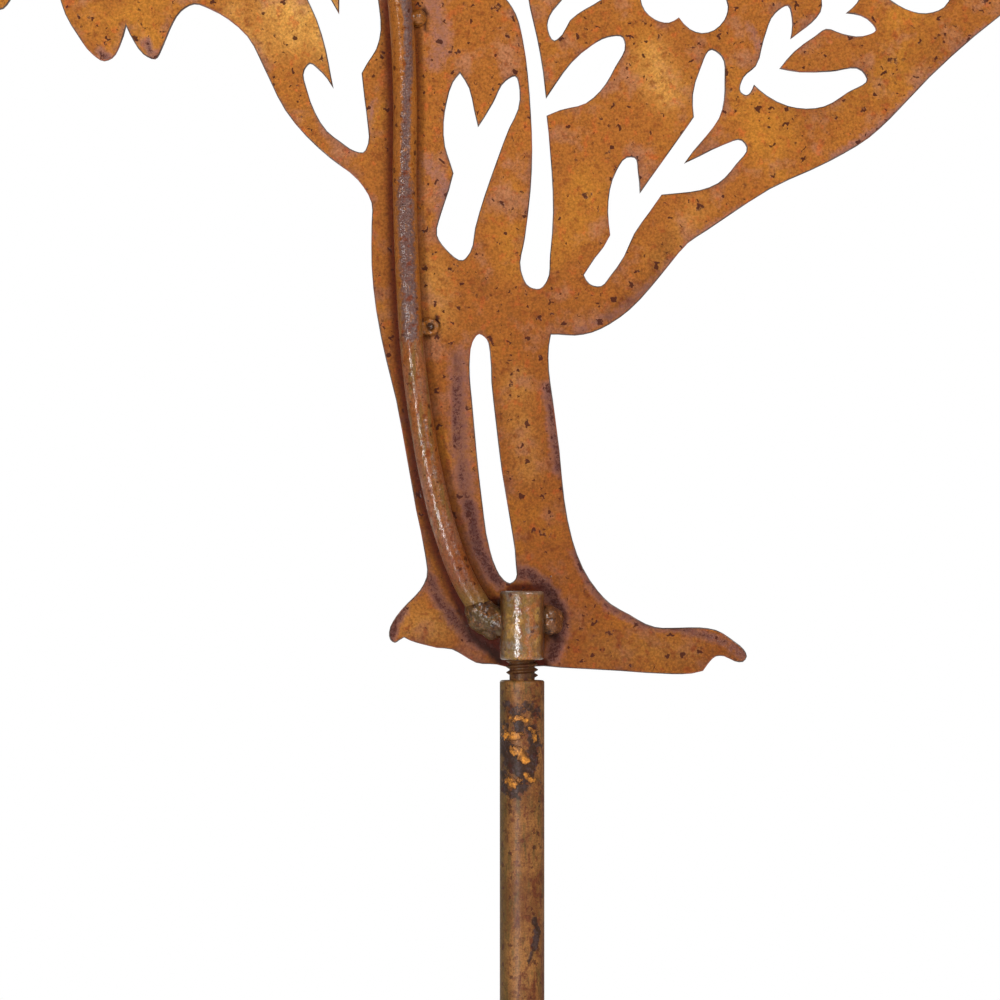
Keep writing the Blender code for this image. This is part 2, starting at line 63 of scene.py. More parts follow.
SHEET_STAIN_AND_SHADOW = "#38180A"
SHEET_BLOOM_AND_LIGHT = "#CC9648"
CREVICE_RUST_AND_SHADE = "#5A1C04"
LOWER_SHADE = "#D8CCC8"
LOWER_SHADE_HEIGHTS = (0.40, 0.30)
PIXEL = 0.00024995
MOUTH_PIXEL = (522, 659)
MOUTH_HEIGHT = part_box("threaded_socket")[0].z

# Where heat and dirt have marked the sheet, and where shadow, shade and light are painted on it: each
# stroke's points in the photograph, its width and strength
HEAT_STROKES = (
    (((459, 356), (459, 400), (461, 450), (468, 505), (479, 550), (490, 574)), 20, 0.6),
    (((456, 376), (454, 430), (460, 470), (466, 500)), 6, 0.8),
    (((468, 500), (477, 545), (488, 568), (500, 584)), 11, 0.98),
    (((549, 388), (554, 430), (559, 470)), 12, 0.75),
    (((514, 573), (530, 574), (546, 588), (553, 600)), 14, 0.9),
    (((548, 590), (558, 606), (561, 632), (552, 658)), 15, 0.9),
    (((574, 552), (588, 582), (606, 606), (640, 624), (684, 630), (722, 640), (742, 655)), 8, 0.7),
    (((390, 640), (396, 622), (404, 608)), 9, 0.9),
    (((404, 600), (424, 588), (428, 560)), 7, 0.5),
    (((428, 576), (438, 598), (452, 618), (470, 638), (488, 648)), 13, 0.75),
    (((100, 52), (108, 58)), 9, 0.8),
    (((146, 40), (152, 56)), 8, 0.8),
    (((428, -10), (440, 24), (444, 40), (434, 62)), 20, 0.5),
    (((428, 160), (446, 190), (440, 212)), 14, 0.5),
    (((375, 100), (362, 150), (352, 152)), 8, 0.5),
    (((578, 332), (620, 312), (655, 282), (700, 236), (740, 210)), 9, 0.55),
    (((832, 160), (880, 128), (926, 82), (985, 28)), 8, 0.6),
    (((748, 26), (770, 66), (748, 92)), 9, 0.45),
)
# Dark stains, and painted shadows below the welds, under the socket, beside the tacks and left of the rod's
# end
STAIN_AND_SHADOW_STROKES = (
    (((478, 634), (492, 646), (503, 658)), 17, 1.0),
    (((440, 500), (470, 600), (430, 640)), 60, 0.3),
    (((560, 620), (620, 650), (720, 656)), 50, 0.28),
    (((503, 664), (522, 666), (545, 664)), 11, 0.9),
    (((466, 606), (474, 622), (480, 634)), 9, 0.8),
    (((478, 280), (484, 290)), 22, 0.3),
    (((508, 300), (514, 318)), 14, 0.25),
    (((610, 316), (650, 282), (668, 240)), 24, 0.36),
    (((800, 110), (960, 40)), 80, 0.26),
    (((520, 200), (560, 320)), 50, 0.2),
    (((452, 350), (458, 372)), 9, 0.4),
    (((548, 630), (560, 640)), 9, 0.7),
    (((424, 9), (428, 18), (424, 28)), 6, 0.8),
    (((436, 318), (440, 328), (434, 338), (424, 338)), 5, 0.8),
    (((458, 592), (464, 610), (474, 630)), 12, 1.0),
)
# Darker rust in the crevices beside the rod and round the socket, with painted shade along them
CREVICE_RUST_AND_SHADE_STROKES = (
    (
        (
            (397, 5), (402, 90), (402, 190), (405, 290), (410, 360), (418, 420), (430.5, 490), (446, 545),
            (461, 582), (474, 604), (484, 622), (500, 634),
        ),
        25, 1.0,
    ),
    (((417, 5), (420, 90), (420, 190), (423, 300)), 5, 0.4),
    (((488, 604), (500, 600), (512, 588), (540, 588)), 9, 0.7),
    (((506, 600), (508, 640), (508, 662), (540, 664)), 11, 0.9),
)
# Paler rust, partly painted light, brightest at the upper left
BLOOM_AND_LIGHT_STROKES = (
    (((404, 622), (436, 628)), 30, 0.7),
    (((596, 652), (690, 652)), 22, 0.35),
    (((290, 20), (340, 30)), 60, 1.0),
    (((652, 60), (664, 92)), 34, 0.6),
    (((516, 380), (528, 470)), 26, 0.45),
    (((234, 12), (260, 50)), 26, 0.5),
    (((432, 268), (442, 320)), 26, 0.4),
    (((700, 210), (660, 260)), 26, 0.25),
)
EDGE_SHADE_REACH = 0.0010
FRONT_MARKS = 0.35
SHEET_RELIEF = 0.00012

# Pits in the rust: their spacing, smallest and largest radius, the share of places with one, and their bend
LARGE_SPECKS = (0.0044, 0.00022, 0.00066, 0.72, 0.0030)
SMALL_SPECKS = (0.0021, 0.00012, 0.00034, 0.46, 0.0013)
CLUSTERED_SPECKS = (0.0120, 0.0005, 0.0012, 0.46, 0.0034)


def linear(hex_colour):
    """A colour written as sRGB hex, as linear red, green, blue and full alpha."""
    shares = [int(hex_colour[i:i + 2], 16) / 255 for i in (1, 3, 5)]
    return (*(s / 12.92 if s <= 0.04045 else ((s + 0.055) / 1.055) ** 2.4 for s in shares), 1.0)


def add_node(tree, kind, inputs=None, **settings):
    """Adds a shader node with its settings, and with each input set or linked."""
    node = tree.nodes.new(kind)
    for name, value in settings.items():
        setattr(node, name, value)
    for socket, value in (inputs or {}).items():
        if isinstance(value, bpy.types.NodeSocket):
            tree.links.new(value, node.inputs[socket])
        else:
            node.inputs[socket].default_value = value
    return node


def new_material(name, coat, coat_roughness, gloss):
    """A material with its lacquer's gloss set, its node tree, its shader and its object coordinates."""
    material = bpy.data.materials.new(name)
    material.use_nodes = True
    tree = material.node_tree
    shader = tree.nodes["Principled BSDF"]
    shader.inputs["Metallic"].default_value = 0.0
    shader.inputs["Specular IOR Level"].default_value = gloss
    shader.inputs["Coat Weight"].default_value = coat
    shader.inputs["Coat Roughness"].default_value = coat_roughness
    place = add_node(tree, "ShaderNodeTexCoord").outputs["Object"]
    return material, tree, shader, place


def mottles(tree, place, *kinds):
    """Uneven patterns, one for each patch size in metres with its detail and roughness."""
    patterns = []
    for size, detail, roughness in kinds:
        settings = {"Vector": place, "Scale": 1 / size, "Detail": detail, "Roughness": roughness}
        patterns.append(add_node(tree, "ShaderNodeTexNoise", settings).outputs["Fac"])
    return patterns


def where(tree, pattern, low, high, most=1.0, mask=None, least=0.0):
    """How much shows where a pattern runs from low to high, and no more than a mask lets through."""
    settings = {"Value": pattern, "From Min": low, "From Max": high, "To Min": least, "To Max": most}
    shows = add_node(tree, "ShaderNodeMapRange", settings, interpolation_type="SMOOTHSTEP").outputs["Result"]
    if mask is None:
        return shows
    return add_node(tree, "ShaderNodeMath", {0: shows, 1: mask}, operation="MULTIPLY").outputs[0]


def laid_over(tree, colour, over, pattern, low, high, most=1.0, mask=None, least=0.0, blend="MIX"):
    """One colour with another laid over it where a pattern runs from low to high."""
    share = where(tree, pattern, low, high, most, mask, least)
    over = linear(over) if isinstance(over, str) else over
    # Inputs 6 and 7 of a colour mix are its two colours, and output 2 is the mixed one
    settings = {0: share, 6: colour, 7: over}
    return add_node(tree, "ShaderNodeMix", settings, data_type="RGBA", blend_type=blend).outputs[2]


def broken_up(tree, mark, pattern, amount):
    """A mark or a place whose edge a pattern makes uneven."""
    settings = {0: pattern, 1: amount, 2: -amount / 2}
    swing = add_node(tree, "ShaderNodeMath", settings, operation="MULTIPLY_ADD").outputs[0]
    return add_node(tree, "ShaderNodeMath", {0: mark, 1: swing}, operation="ADD").outputs[0]


def grained(tree, colour, grain, darkest, lightest):
    """A colour made darker and lighter by a fine grain."""
    shade = where(tree, grain, 0.25, 0.75, lightest, None, darkest)
    return add_node(tree, "ShaderNodeVectorMath", {0: colour, "Scale": shade}, operation="SCALE").outputs[0]


def specks(tree, place, spacing, smallest, largest, how_many, bend, dimensions="3D"):
    """Scattered comma-shaped pits: their spacing and sizes in metres, and the share of places with one."""
    wander = add_node(tree, "ShaderNodeTexNoise", {"Vector": place, "Scale": 2.2 / bend, "Detail": 1.0})
    settings = {0: wander.outputs["Color"], 1: (bend, bend, bend), 2: place}
    bent = add_node(tree, "ShaderNodeVectorMath", settings, operation="MULTIPLY_ADD").outputs[0]
    settings = {"Vector": bent, "Scale": 1 / spacing}
    cells = add_node(tree, "ShaderNodeTexVoronoi", settings, voronoi_dimensions=dimensions)
    chance = add_node(tree, "ShaderNodeSeparateColor", {0: cells.outputs["Color"]})
    radius = where(tree, chance.outputs["Green"], 0.3, 1.05, largest / spacing, None, smallest / spacing)
    settings = {0: radius, 1: cells.outputs["Distance"]}
    inside = add_node(tree, "ShaderNodeMath", settings, operation="SUBTRACT")
    chosen = where(tree, chance.outputs["Red"], 0.99 - how_many, 1.0 - how_many)
    return where(tree, inside.outputs[0], -0.015, 0.02, mask=chosen)


def raised(tree, shader, height, finer, finer_share, depth, strength=1.0):
    """Gives the surface and its lacquer a relief of that depth in metres, with a finer one added to it."""
    both = add_node(tree, "ShaderNodeMath", {0: finer, 1: finer_share, 2: height}, operation="MULTIPLY_ADD")
    settings = {"Height": both.outputs[0], "Strength": strength, "Distance": depth}
    relief = add_node(tree, "ShaderNodeBump", settings).outputs["Normal"]
    for socket in ("Normal", "Coat Normal"):
        tree.links.new(relief, shader.inputs[socket])


def metres_from(points):
    """Photograph pixels as x and z in the sheet's plane."""
    middle, mouth = MOUTH_PIXEL
    return [(PIXEL * (right - middle), MOUTH_HEIGHT + PIXEL * (mouth - down)) for right, down in points]


def marked(places, strokes):
    """How strongly the strokes mark each place, fading out from each stroke's middle line to its width."""
    strength = np.zeros(len(places))
    for points, width, peak in strokes:
        line = np.array(metres_from(points))
        for start, end in zip(line, line[1:]):
            along = end - start
            share = np.clip(((places - start) @ along) / (along @ along), 0.0, 1.0)
            away = np.linalg.norm(places - start - share[:, None] * along, axis=1)
            fade = np.clip(1.0 - away / (width * PIXEL), 0.0, 1.0)
            strength = np.maximum(strength, peak * fade * fade * (3 - 2 * fade))
    return strength


def store(mesh, name, values):
    """Keeps one number for each vertex, for a material to read."""
    attribute = mesh.attributes.new(name, "FLOAT", "POINT")
    attribute.data.foreach_set("value", np.asarray(values, dtype=np.float32))


def pick(piece, kind, wanted):
    """In edit mode, selects only the faces or the edges that are wanted."""
    bpy.ops.mesh.select_mode(type=kind)
    bpy.ops.mesh.select_all(action="DESELECT")
    edit = bmesh.from_edit_mesh(piece.data)
    for part in edit.faces if kind == "FACE" else edit.edges:
        if wanted(part):
            part.select_set(True)
    bmesh.update_edit_mesh(piece.data)


def on_cut_edge(edge):
    """Whether a flat side of the sheet meets its cut edge here."""
    steepness = [abs(face.normal.y) for face in edge.link_faces]
    return max(steepness) > 0.9 and min(steepness) < 0.1


bpy.ops.object.select_all(action="DESELECT")
sheet = bpy.data.objects.new("rooster_sheet", nodes["rooster_figure"].data.copy())
bpy.context.scene.collection.objects.link(sheet)
bpy.context.view_layer.objects.active = sheet
sheet.select_set(True)
bpy.ops.object.mode_set(mode="EDIT")
bpy.ops.mesh.select_all(action="SELECT")
bpy.ops.mesh.remove_doubles(threshold=0.00001)
bpy.ops.mesh.dissolve_limited(angle_limit=math.radians(0.5))
pick(sheet, "EDGE", on_cut_edge)
rim_points = []
for edge in bmesh.from_edit_mesh(sheet.data).edges:
    if on_cut_edge(edge):
        ends = [vert.co for vert in edge.verts]
        pieces = max(1, round(edge.calc_length() / EDGE_SHADE_REACH))
        rim_points += [ends[0].lerp(ends[1], step / pieces) for step in range(pieces)]
bpy.ops.mesh.bevel(offset=CUT_EDGE_ROUNDING, segments=3, profile=0.5, affect="EDGES", clamp_overlap=False)
sheet_low, sheet_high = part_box("rooster_figure")
for direction in (Vector((1, 0, 0)), Vector((0, 0, 1))):
    first_cut = sheet_low.dot(direction) + PAINTING_GRID / 2
    cuts = int((sheet_high - sheet_low).dot(direction) / PAINTING_GRID)
    for number in range(cuts):
        bpy.ops.mesh.select_all(action="SELECT")
        bpy.ops.mesh.bisect(plane_co=direction * (first_cut + number * PAINTING_GRID), plane_no=direction)
bpy.ops.mesh.select_all(action="DESELECT")
bpy.ops.object.mode_set(mode="OBJECT")
flat_faces = [abs(face.normal.y) > 0.999 for face in sheet.data.polygons]
bpy.ops.object.shade_smooth_by_angle(angle=math.radians(50))
sheet.data.polygons.foreach_set("use_smooth", [not is_flat for is_flat in flat_faces])

rim = kdtree.KDTree(len(rim_points))
for number, point in enumerate(rim_points):
    rim.insert((point.x, 0.0, point.z), number)
rim.balance()
nearness = []
for vert in sheet.data.vertices:
    away = rim.find((vert.co.x, 0.0, vert.co.z))[2]
    nearness.append(math.exp(-away / EDGE_SHADE_REACH))
sheet_places = np.array([(vert.co.x, vert.co.z) for vert in sheet.data.vertices])
middle_of_sheet = (sheet_low.y + sheet_high.y) / 2
on_back = np.array([1.0 if vert.co.y < middle_of_sheet else FRONT_MARKS for vert in sheet.data.vertices])
sheet_marks = {
    "weld_heat": marked(sheet_places, HEAT_STROKES) * on_back,
    "dirt_and_painted_shadow": marked(sheet_places, STAIN_AND_SHADOW_STROKES) * on_back,
    "crevice_rust_and_painted_shade": marked(sheet_places, CREVICE_RUST_AND_SHADE_STROKES) * (on_back == 1.0),
    "pale_bloom_and_painted_light": marked(sheet_places, BLOOM_AND_LIGHT_STROKES),
    "near_cut_edge": nearness,
}
for name, strengths in sheet_marks.items():
    store(sheet.data, name, strengths)

# Mild steel, rusted evenly and lacquered: the eye sees a mottled orange brown with dark comma-shaped pits
# under a thin gloss, ochre where the rust is thin, purple where the steel was hot, and darker cut edges.
# Real rust grit is 0.1 to 0.3 mm, finer than the render shows, so the grain is drawn at 0.5 to 0.6 mm.
sheet_metal, tree, shader, place = new_material("rusted_sheet_steel_lacquered", 0.2, 0.14, 0.1)
heat, stain_and_shadow, crevice_rust_and_shade, bloom_and_light, edge_shade = (
    add_node(tree, "ShaderNodeAttribute", attribute_name=name).outputs["Fac"] for name in sheet_marks
)
apart = add_node(tree, "ShaderNodeSeparateXYZ", {0: place})
settings = {0: apart.outputs["X"], 1: apart.outputs["Z"]}
flat_place = add_node(tree, "ShaderNodeCombineXYZ", settings).outputs[0]
broad, crowd, cloudy, mottle, fine, grain = mottles(
    tree, place, (0.022, 3, 0.55), (0.016, 3, 0.55), (0.0075, 4, 0.55), (0.0028, 4, 0.6), (0.0013, 4, 0.65),
    (0.0006, 3, 0.7),
)
colour = laid_over(tree, linear(SHEET_RUST), SHEET_OCHRE, broad, 0.46, 0.68, 0.5)
# Paler patches, partly painted light
colour = laid_over(tree, colour, SHEET_BLOOM_AND_LIGHT, cloudy, 0.3, 0.6, mask=bloom_and_light, least=0.4)
colour = laid_over(tree, colour, SHEET_PINK_RUST, cloudy, 0.50, 0.70, 0.75)
colour = laid_over(tree, colour, SHEET_RED_RUST, mottle, 0.54, 0.68, 0.6)
colour = laid_over(tree, colour, SHEET_BROWN_RUST, mottle, 0.46, 0.30, 0.6)
colour = laid_over(tree, colour, SHEET_BROWN_RUST, fine, 0.53, 0.72, 0.65)
hot = broken_up(tree, heat, fine, 1.0)
heat_colour = laid_over(tree, linear(HEAT_PINK), HEAT_PURPLE, hot, 0.45, 1.05)
colour = laid_over(tree, colour, heat_colour, hot, 0.0, 0.8, 0.88, where(tree, heat, 0.0, 0.25))
# Dark stains, with painted shadows below the welds, the socket and the tacks
broken_stain_and_shadow = broken_up(tree, stain_and_shadow, mottle, 0.7)
colour = laid_over(tree, colour, SHEET_STAIN_AND_SHADOW, broken_stain_and_shadow, 0.1, 0.8, mask=where(tree, stain_and_shadow, 0.0, 0.2))
# Darker rust and painted shade beside the rod and round the socket
colour = laid_over(tree, colour, CREVICE_RUST_AND_SHADE, crevice_rust_and_shade, 0.05, 0.6, 0.9)
colour = laid_over(tree, colour, HEAT_PURPLE, cloudy, 0.46, 0.66, 0.6, edge_shade, 0.06)
colour = laid_over(tree, colour, LOWER_SHADE, apart.outputs["Z"], *LOWER_SHADE_HEIGHTS, blend="MULTIPLY")
colour = grained(tree, colour, grain, 0.66, 1.40)
speck_share = specks(tree, flat_place, *LARGE_SPECKS, "2D")
small_specks = specks(tree, flat_place, *SMALL_SPECKS, "2D")
clusters = specks(tree, flat_place, *CLUSTERED_SPECKS, "2D")
for more in (
    where(tree, crowd, 0.42, 0.60, mask=small_specks, least=0.2),
    where(tree, fine, 0.44, 0.54, mask=clusters),
    where(tree, grain, 0.48, 0.55, mask=where(tree, heat, 0.25, 0.8, 0.85)),
):
    speck_share = add_node(tree, "ShaderNodeMath", {0: speck_share, 1: more}, operation="MAXIMUM").outputs[0]
colour = laid_over(tree, colour, SHEET_SPECK, speck_share, 0.0, 1.0, 0.9)
tree.links.new(colour, shader.inputs["Base Color"])
tree.links.new(where(tree, fine, 0.3, 0.7, 0.55, None, 0.36), shader.inputs["Roughness"])
raised(tree, shader, fine, speck_share, -0.8, SHEET_RELIEF, 0.6)

# The cut rim is bare of loose rust: a smooth dark grey brown that draws a thin line round the figure.
rim_metal, tree, shader, place = new_material("blued_torch_cut_edge", 0.15, 0.2, 0.2)
rim_patches, rim_rust = mottles(tree, place, (0.005, 3, 0.55), (0.012, 3, 0.55))
rim_colour = laid_over(tree, linear(RIM_BROWN), RIM_GREY, rim_patches, 0.35, 0.65)
rim_colour = laid_over(tree, rim_colour, SHEET_RED_RUST, rim_rust, 0.50, 0.64, 0.45)
tree.links.new(rim_colour, shader.inputs["Base Color"])
shader.inputs["Roughness"].default_value = 0.38
sheet.data.materials.clear()
sheet.data.materials.append(sheet_metal)
sheet.data.materials.append(rim_metal)
sheet.data.polygons.foreach_set("material_index", [0 if is_flat else 1 for is_flat in flat_faces])
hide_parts("rooster_figure")
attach(sheet, "root")

# Support rod
# A hot-rolled round bar, 6 mm, bent by hand to follow the back of the rear leg, and welded to the sheet and
# the socket. Its rust is smoother than the sheet's, and the lacquer on it gives a long ragged highlight.
ROD_RADIUS = 0.003
ROD_AXIS_Y = 0.00255
ROD_END_ROUNDING = 0.0004
ROD_ROUTE = (
    (362, -290), (371, -200), (386, -100), (400, 5), (405, 90), (405, 190), (408.5, 290), (413.5, 360),
    (421.5, 420), (434.5, 490), (450, 545), (465, 582), (476.5, 602), (486.6, 618),
)
ROD_RUST = "#84491D"
ROD_PINK = "#825036"
ROD_RED = "#6A2C10"
ROD_PURPLE = "#60443E"
ROD_OLIVE = "#6C5228"
ORANGE_ABOVE = (0.340, 0.365)
OLIVE_FROM_END = (0.011, 0.003)
THIN_LACQUER_ABOVE = (0.345, 0.362)
WORN_LACQUER_BELOW = (0.302, 0.286)
ROD_RELIEF = 0.00029
BAR_PITS = (0.0018, 0.0003, 0.0007, 0.5, 0.0012)

# Where the tack welds' heat has turned the rod purple grey, in the photograph's pixels
ROD_HEAT_STROKES = (
    (((366, -240), (388, -100), (404, 5)), 9, 0.8),
    (((408, 5), (409, 60), (406, 130), (405, 190)), 9, 1.1),
    (((405, 185), (408, 260), (411, 335)), 15, 1.2),
    (((424, 420), (436, 476)), 7, 0.5),
    (((448, 520), (470, 590)), 8, 0.5),
)

bpy.ops.object.select_all(action="DESELECT")
bpy.ops.curve.primitive_bezier_curve_add()
rod = bpy.context.active_object
rod.name = "bent_rod"
line = rod.data.splines[0]
line.bezier_points.add(len(ROD_ROUTE) - len(line.bezier_points))
for knot, (x, z) in zip(line.bezier_points, metres_from(ROD_ROUTE)):
    knot.co = (x, ROD_AXIS_Y, z)
    knot.handle_left_type = knot.handle_right_type = "AUTO"
line.resolution_u = 12
rod.data.dimensions = "3D"
rod.data.bevel_depth = ROD_RADIUS
rod.data.bevel_resolution = 10
rod.data.use_fill_caps = True
bpy.ops.object.convert(target="MESH")
bpy.ops.object.mode_set(mode="EDIT")
bpy.ops.mesh.select_all(action="SELECT")
bpy.ops.mesh.remove_doubles(threshold=0.00001)
bpy.ops.mesh.normals_make_consistent(inside=False)
pick(rod, "FACE", lambda face: len(face.verts) > 4)
bpy.ops.mesh.bevel(offset=ROD_END_ROUNDING, segments=3, affect="EDGES")
bpy.ops.object.mode_set(mode="OBJECT")
bpy.ops.object.shade_smooth_by_angle(angle=math.radians(40))
rod_places = np.array([(vert.co.x, vert.co.z) for vert in rod.data.vertices])
rod_on_back = np.array([vert.co.y < ROD_AXIS_Y + ROD_RADIUS / 2 for vert in rod.data.vertices])
store(rod.data, "weld_heat", marked(rod_places, ROD_HEAT_STROKES) * rod_on_back)

# Hot-rolled bar, rusted and lacquered: brown low down, purple grey higher up where the tack welds were made,
# with faint olive streaks along it and fine pits that break up its highlight.
rod_metal, tree, shader, place = new_material("rusted_round_bar_lacquered", 0.9, 0.07, 0.1)
rod_patches, rod_fine, rod_pits, grain = mottles(
    tree, place, (0.014, 4, 0.55), (0.0015, 4, 0.65), (0.0008, 2, 0.55), (0.0005, 3, 0.7)
)
streak_place = add_node(tree, "ShaderNodeMapping", {"Vector": place, "Scale": (1.0, 1.0, 0.12)}).outputs[0]
rod_streaks, = mottles(tree, streak_place, (0.0018, 3, 0.55))
rod_heat = add_node(tree, "ShaderNodeAttribute", attribute_name="weld_heat").outputs["Fac"]
upward = add_node(tree, "ShaderNodeSeparateXYZ", {0: place}).outputs["Z"]
rod_end = metres_from(ROD_ROUTE)[-1][1]
rod_hot = broken_up(tree, rod_heat, rod_fine, 2.0)
rod_purple = where(tree, rod_hot, 0.2, 0.9, 0.9, where(tree, rod_heat, 0.0, 0.2))
colour = laid_over(tree, linear(ROD_RUST), ROD_PINK, rod_patches, 0.42, 0.60)
colour = laid_over(tree, colour, ROD_OLIVE, rod_streaks, 0.48, 0.64, 0.75)
colour = laid_over(tree, colour, SHEET_RUST, upward, *ORANGE_ABOVE, 0.85)
colour = laid_over(tree, colour, ROD_PURPLE, rod_purple, 0.0, 1.0)
colour = laid_over(tree, colour, SHEET_RUST, rod_fine, 0.54, 0.70, 0.6)
colour = laid_over(tree, colour, ROD_RED, rod_fine, 0.46, 0.32, 0.8)
colour = laid_over(tree, colour, ROD_RED, upward, *WORN_LACQUER_BELOW, 0.35)
above, near = OLIVE_FROM_END
colour = laid_over(tree, colour, ROD_OLIVE, upward, rod_end + above, rod_end + near, 0.8)
pits = specks(tree, place, *BAR_PITS)
colour = laid_over(tree, colour, SHEET_SPECK, pits, 0.0, 1.0, 0.8)
tree.links.new(grained(tree, colour, grain, 0.6, 1.36), shader.inputs["Base Color"])
shader.inputs["Roughness"].default_value = 0.34
thinner_high_up = where(tree, upward, *THIN_LACQUER_ABOVE, 0.6, None, 1.0)
thinner_low_down = where(tree, upward, *WORN_LACQUER_BELOW, 0.3, thinner_high_up, 1.0)
lacquer = where(tree, rod_fine, 0.44, 0.54, mask=thinner_low_down, least=0.12)
tree.links.new(lacquer, shader.inputs["Coat Weight"])
roughest_where_purple = where(tree, rod_purple, 0.1, 0.8, 1.0, None, 0.5)
raised(tree, shader, rod_fine, rod_pits, 0.67, ROD_RELIEF, roughest_where_purple)
rod.data.materials.clear()
rod.data.materials.append(rod_metal)
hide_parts("support_rod")
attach(rod, "root")

# Threaded socket
# A short length of round steel bar, sawn off, its rims rounded by filing, and bored from below for the
# stake's thread. It is welded on at both sides, and lacquered thickly, so that it shines.
SOCKET_RADIUS = 0.00555
SOCKET_LENGTH = 0.0171
SOCKET_RIM_ROUNDING = 0.0007
BORE_RADIUS = 0.00425
BORE_DEPTH = 0.012
BORE_MOUTH_CHAMFER = 0.0003
SOCKET_BROWN = "#80562A"
SOCKET_OLIVE = "#72582C"
SOCKET_GOLD = "#A67C3C"
SOCKET_ORANGE = "#A05A28"
SOCKET_GREY = "#6E6258"
SOCKET_COAT_IOR = 1.75
SOCKET_RELIEF = 0.00016
SOCKET_PITS = (0.0018, 0.0003, 0.0007, 0.45, 0.0012)

bpy.ops.object.select_all(action="DESELECT")
bpy.ops.mesh.primitive_cylinder_add(
    vertices=96, radius=SOCKET_RADIUS, depth=SOCKET_LENGTH, location=(0, 0, MOUTH_HEIGHT + SOCKET_LENGTH / 2)
)
socket = bpy.context.active_object
socket.name = "bored_socket"
bpy.ops.object.transform_apply(location=True, rotation=True, scale=True)
bpy.ops.object.mode_set(mode="EDIT")
pick(socket, "EDGE", lambda edge: any(abs(face.normal.z) > 0.9 for face in edge.link_faces))
bpy.ops.mesh.bevel(offset=SOCKET_RIM_ROUNDING, segments=5, profile=0.5, affect="EDGES")
pick(socket, "FACE", lambda face: face.normal.z < -0.99)
flat_bottom = SOCKET_RADIUS - SOCKET_RIM_ROUNDING
bpy.ops.mesh.inset(thickness=flat_bottom - BORE_RADIUS - BORE_MOUTH_CHAMFER)
bpy.ops.mesh.inset(thickness=BORE_MOUTH_CHAMFER, depth=-BORE_MOUTH_CHAMFER)
bpy.ops.mesh.extrude_region_move(
    TRANSFORM_OT_translate={"value": (0, 0, BORE_DEPTH - BORE_MOUTH_CHAMFER), "orient_type": "GLOBAL"}
)
bpy.ops.object.mode_set(mode="OBJECT")
bpy.ops.object.shade_smooth_by_angle(angle=math.radians(40))

# Turned bar, rusted and thickly lacquered: olive brown at its left, orange in its middle, where the weld's
# heat reached, a bright greyish rim, and a pitted skin that breaks its highlight into a jagged line.
socket_metal, tree, shader, place = new_material("lacquered_bar_end", 1.0, 0.09, 0.1)
shader.inputs["Coat IOR"].default_value = SOCKET_COAT_IOR
apart = add_node(tree, "ShaderNodeSeparateXYZ", {0: place})
socket_patches, socket_cloud, socket_fine, socket_pits, grain = mottles(
    tree, place, (0.0045, 4, 0.55), (0.0030, 3, 0.55), (0.0012, 4, 0.6), (0.0007, 2, 0.55), (0.0005, 3, 0.7)
)
sideways = broken_up(tree, apart.outputs["X"], socket_patches, 0.022)
colour = laid_over(tree, linear(SOCKET_BROWN), SOCKET_OLIVE, sideways, 0.0002, -0.0028, 0.8)
in_middle = where(tree, sideways, 0.0048, 0.0030)
colour = laid_over(tree, colour, SOCKET_ORANGE, sideways, -0.0004, 0.0014, 0.55, in_middle)
colour = laid_over(tree, colour, SOCKET_GOLD, socket_cloud, 0.52, 0.66, 0.8)
colour = laid_over(tree, colour, SOCKET_GREY, socket_cloud, 0.44, 0.32, 0.7)
colour = laid_over(tree, colour, SHEET_BROWN_RUST, socket_fine, 0.50, 0.68, 0.7)
# Painted shade: the socket's left and right sides are darkened with the stain colour
aside = add_node(tree, "ShaderNodeMath", {0: apart.outputs["X"]}, operation="ABSOLUTE").outputs[0]
colour = laid_over(tree, colour, SHEET_STAIN_AND_SHADOW, aside, 0.0034, 0.0054, 0.8)
top = MOUTH_HEIGHT + SOCKET_LENGTH
colour = laid_over(tree, colour, SOCKET_GREY, apart.outputs["Z"], top - 0.0012, top - 0.0002, 0.6)
pits = specks(tree, place, *SOCKET_PITS)
colour = laid_over(tree, colour, SHEET_SPECK, pits, 0.0, 1.0, 0.75)
tree.links.new(grained(tree, colour, grain, 0.62, 1.34), shader.inputs["Base Color"])
shader.inputs["Roughness"].default_value = 0.28
tree.links.new(where(tree, socket_fine, 0.40, 0.54, 1.0, None, 0.3), shader.inputs["Coat Weight"])
raised(tree, shader, socket_fine, socket_pits, 0.43, SOCKET_RELIEF)
socket.data.materials.clear()
socket.data.materials.append(socket_metal)
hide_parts("threaded_socket")
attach(socket, "root")

# Welds
# Beads of weld metal from a hand-held torch: three small tacks that hold the rod to the sheet, a lumpy bead
# that joins the rod's end to the socket, and a rounder one at the socket's other side.
WELD_VOXEL = 0.00016
WELD_BROWN = "#4C2E16"
WELD_OLIVE = "#4E3A1E"
WELD_RED = "#6C4024"
WELD_DARK = "#2A1208"
RED_RIGHT_OF = (0.004, 0.007)
TACKS_ABOVE = (0.30, 0.32)

